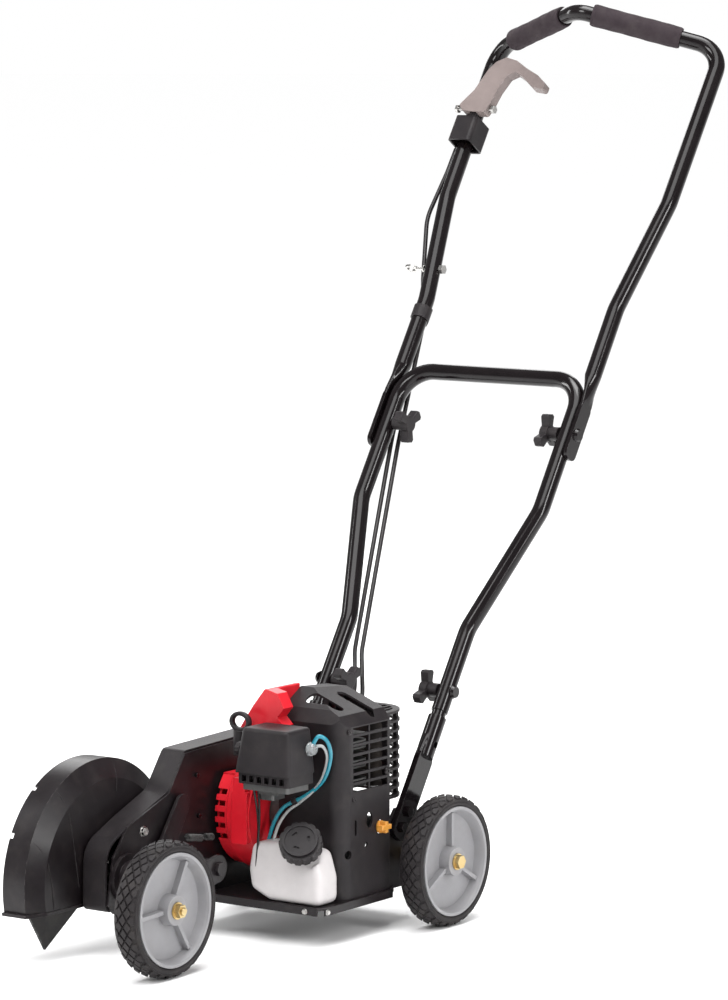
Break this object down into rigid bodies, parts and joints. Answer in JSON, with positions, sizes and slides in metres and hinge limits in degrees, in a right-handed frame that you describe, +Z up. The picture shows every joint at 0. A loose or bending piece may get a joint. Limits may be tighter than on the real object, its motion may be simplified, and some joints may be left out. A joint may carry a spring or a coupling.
{
  "type": "lawn edger",
  "caption": "Walk-behind petrol lawn edger: guarded vertical blade beside a belt cover, small engine on a deck, staggered wheels and a folding tube handle with foam grips.",
  "frame": {"origin": "on the ground, under the middle of the rear axle", "axes": "+X to the machine's left, -Y forward, +Z up"},
  "size_m": [0.3938, 1.1285, 1.1564],
  "materials": {
    "tyre": "matte",
    "hub": "satin",
    "zinc": "satin",
    "black_paint": "satin",
    "black_plastic": "matte",
    "bright_steel": "satin",
    "blade_steel": "satin",
    "belt_rubber": "matte",
    "aluminium": "satin",
    "red_plastic": "satin",
    "clear_bulb": "gloss",
    "orange_plastic": "gloss",
    "muffler_steel": "matte",
    "white_tank": "satin",
    "blue_tube": "satin",
    "black_gloss": "gloss",
    "foam": "matte",
    "grey_paint": "satin",
    "cable": "satin"
  },
  "bodies": {
    "chassis": {"deck": "black_paint", "side_plate": "black_paint", "belt_cover": "black_plastic", "blade_guard": "black_paint", "cover_screws": "bright_steel", "spindle_housing": "black_paint", "spindle_bearings": "bright_steel", "rear_axle_bolts": "zinc", "rear_axle_nuts": "zinc", "depth_springs": "bright_steel", "engine_block": "aluminium", "starter_housing": "red_plastic", "engine_shroud": "black_plastic", "engine_top_cover": "red_plastic", "air_cleaner_cover": "black_plastic", "carburettor": "aluminium", "muffler": "muffler_steel", "muffler_guard": "black_plastic", "fuel_tank": "white_tank", "fuel_lines": "blue_tube", "base_tube_left": "black_gloss", "base_tube_right": "black_gloss", "base_tube_bolts": "black_gloss", "lower_handle": "black_gloss", "handle_bolts": "black_gloss", "lower_cables": "cable", "drive_belt": "belt_rubber"},
    "front_arm": {"front_wheel_arm": "black_paint", "arm_pivot_bolt": "black_paint", "front_axle_bolt": "zinc", "front_axle_nut": "zinc"},
    "front_wheel": {"front_tyre": "tyre", "front_hub": "hub"},
    "rear_left_wheel": {"rear_left_tyre": "tyre", "rear_left_hub": "hub"},
    "rear_right_wheel": {"rear_right_tyre": "tyre", "rear_right_hub": "hub"},
    "blade_rotor": {"blade": "blade_steel", "blade_spindle": "bright_steel", "blade_nut": "zinc", "driven_pulley": "bright_steel"},
    "crank_rotor": {"crankshaft": "bright_steel", "drive_pulley": "bright_steel"},
    "upper_frame": {"upper_handle": "black_gloss", "grip_left": "foam", "grip_right": "foam", "lever_bracket": "black_plastic", "lever_pivot_bolt": "bright_steel", "rope_guide": "bright_steel", "upper_cables": "cable", "cable_clip": "black_plastic"},
    "throttle": {"throttle_lever": "grey_paint"},
    "starter_pull": {"starter_handle": "black_plastic"},
    "tank_cap": {"fuel_cap": "black_plastic"},
    "primer": {"primer_bulb": "clear_bulb"},
    "plug": {"oil_plug": "orange_plastic"},
    "knob_upper_left": {"upper_knob_left": "black_plastic"},
    "knob_upper_right": {"upper_knob_right": "black_plastic"},
    "knob_lower_left": {"lower_knob_left": "black_plastic"},
    "knob_lower_right": {"lower_knob_right": "black_plastic"}
  },
  "joints": [
    {"name": "front_wheel_spin", "type": "hinge", "parent": "front_arm", "child": "front_wheel", "pos_m": [0.037, -0.445, 0.083], "axis": [1, 0, 0], "continuous": true},
    {"name": "rear_left_wheel_spin", "type": "hinge", "parent": "chassis", "child": "rear_left_wheel", "pos_m": [0.1395, 0, 0.083], "axis": [1, 0, 0], "continuous": true},
    {"name": "rear_right_wheel_spin", "type": "hinge", "parent": "chassis", "child": "rear_right_wheel", "pos_m": [-0.1395, 0, 0.083], "axis": [1, 0, 0], "continuous": true},
    {"name": "blade_spin", "type": "hinge", "parent": "chassis", "child": "blade_rotor", "pos_m": [-0.143, -0.372, 0.096], "axis": [1, 0, 0], "continuous": true},
    {"name": "crank_spin", "type": "hinge", "parent": "chassis", "child": "crank_rotor", "pos_m": [-0.101, -0.128, 0.15], "axis": [1, 0, 0], "continuous": true},
    {"name": "depth_adjust", "type": "hinge", "parent": "chassis", "child": "front_arm", "pos_m": [0, -0.312, 0.108], "axis": [1, 0, 0], "range_deg": [-6, 6]},
    {"name": "handle_fold", "type": "hinge", "parent": "chassis", "child": "upper_frame", "pos_m": [0, 0.27566, 0.60068], "axis": [1, 0, 0], "range_deg": [0, 110]},
    {"name": "throttle_squeeze", "type": "hinge", "parent": "upper_frame", "child": "throttle", "pos_m": [-0.165, 0.51722, 1.01183], "axis": [-1, 0, 0], "range_deg": [0, 8], "stiffness_Nm_per_rad": 1.5},
    {"name": "starter_pull_slide", "type": "slide", "parent": "chassis", "child": "starter_pull", "axis": [0, 0, 1], "range_m": [0, 0.6], "stiffness_N_per_m": 8},
    {"name": "fuel_cap_turn", "type": "hinge", "parent": "chassis", "child": "tank_cap", "pos_m": [0.06676, -0.20953, 0.12752], "axis": [0.3505, -0.7011, 0.621], "continuous": true},
    {"name": "primer_press", "type": "slide", "parent": "chassis", "child": "primer", "axis": [-1, 0, 0], "range_m": [0, 0.003], "stiffness_N_per_m": 400},
    {"name": "oil_plug_turn", "type": "hinge", "parent": "chassis", "child": "plug", "pos_m": [0.099, -0.083, 0.134], "axis": [1, 0, 0], "continuous": true},
    {"name": "upper_knob_left_turn", "type": "hinge", "parent": "chassis", "child": "knob_upper_left", "pos_m": [0.116, 0.27566, 0.60068], "axis": [1, 0, 0], "continuous": true},
    {"name": "upper_knob_right_turn", "type": "hinge", "parent": "chassis", "child": "knob_upper_right", "pos_m": [-0.116, 0.27566, 0.60068], "axis": [1, 0, 0], "continuous": true},
    {"name": "lower_knob_left_turn", "type": "hinge", "parent": "chassis", "child": "knob_lower_left", "pos_m": [0.068, 0.06939, 0.28547], "axis": [1, 0, 0], "continuous": true},
    {"name": "lower_knob_right_turn", "type": "hinge", "parent": "chassis", "child": "knob_lower_right", "pos_m": [-0.068, 0.06939, 0.28547], "axis": [1, 0, 0], "continuous": true}
  ],
  "couplings": [
    {"joint": "crank_spin", "follows": "blade_spin", "ratio": 0.7876}
  ]
}
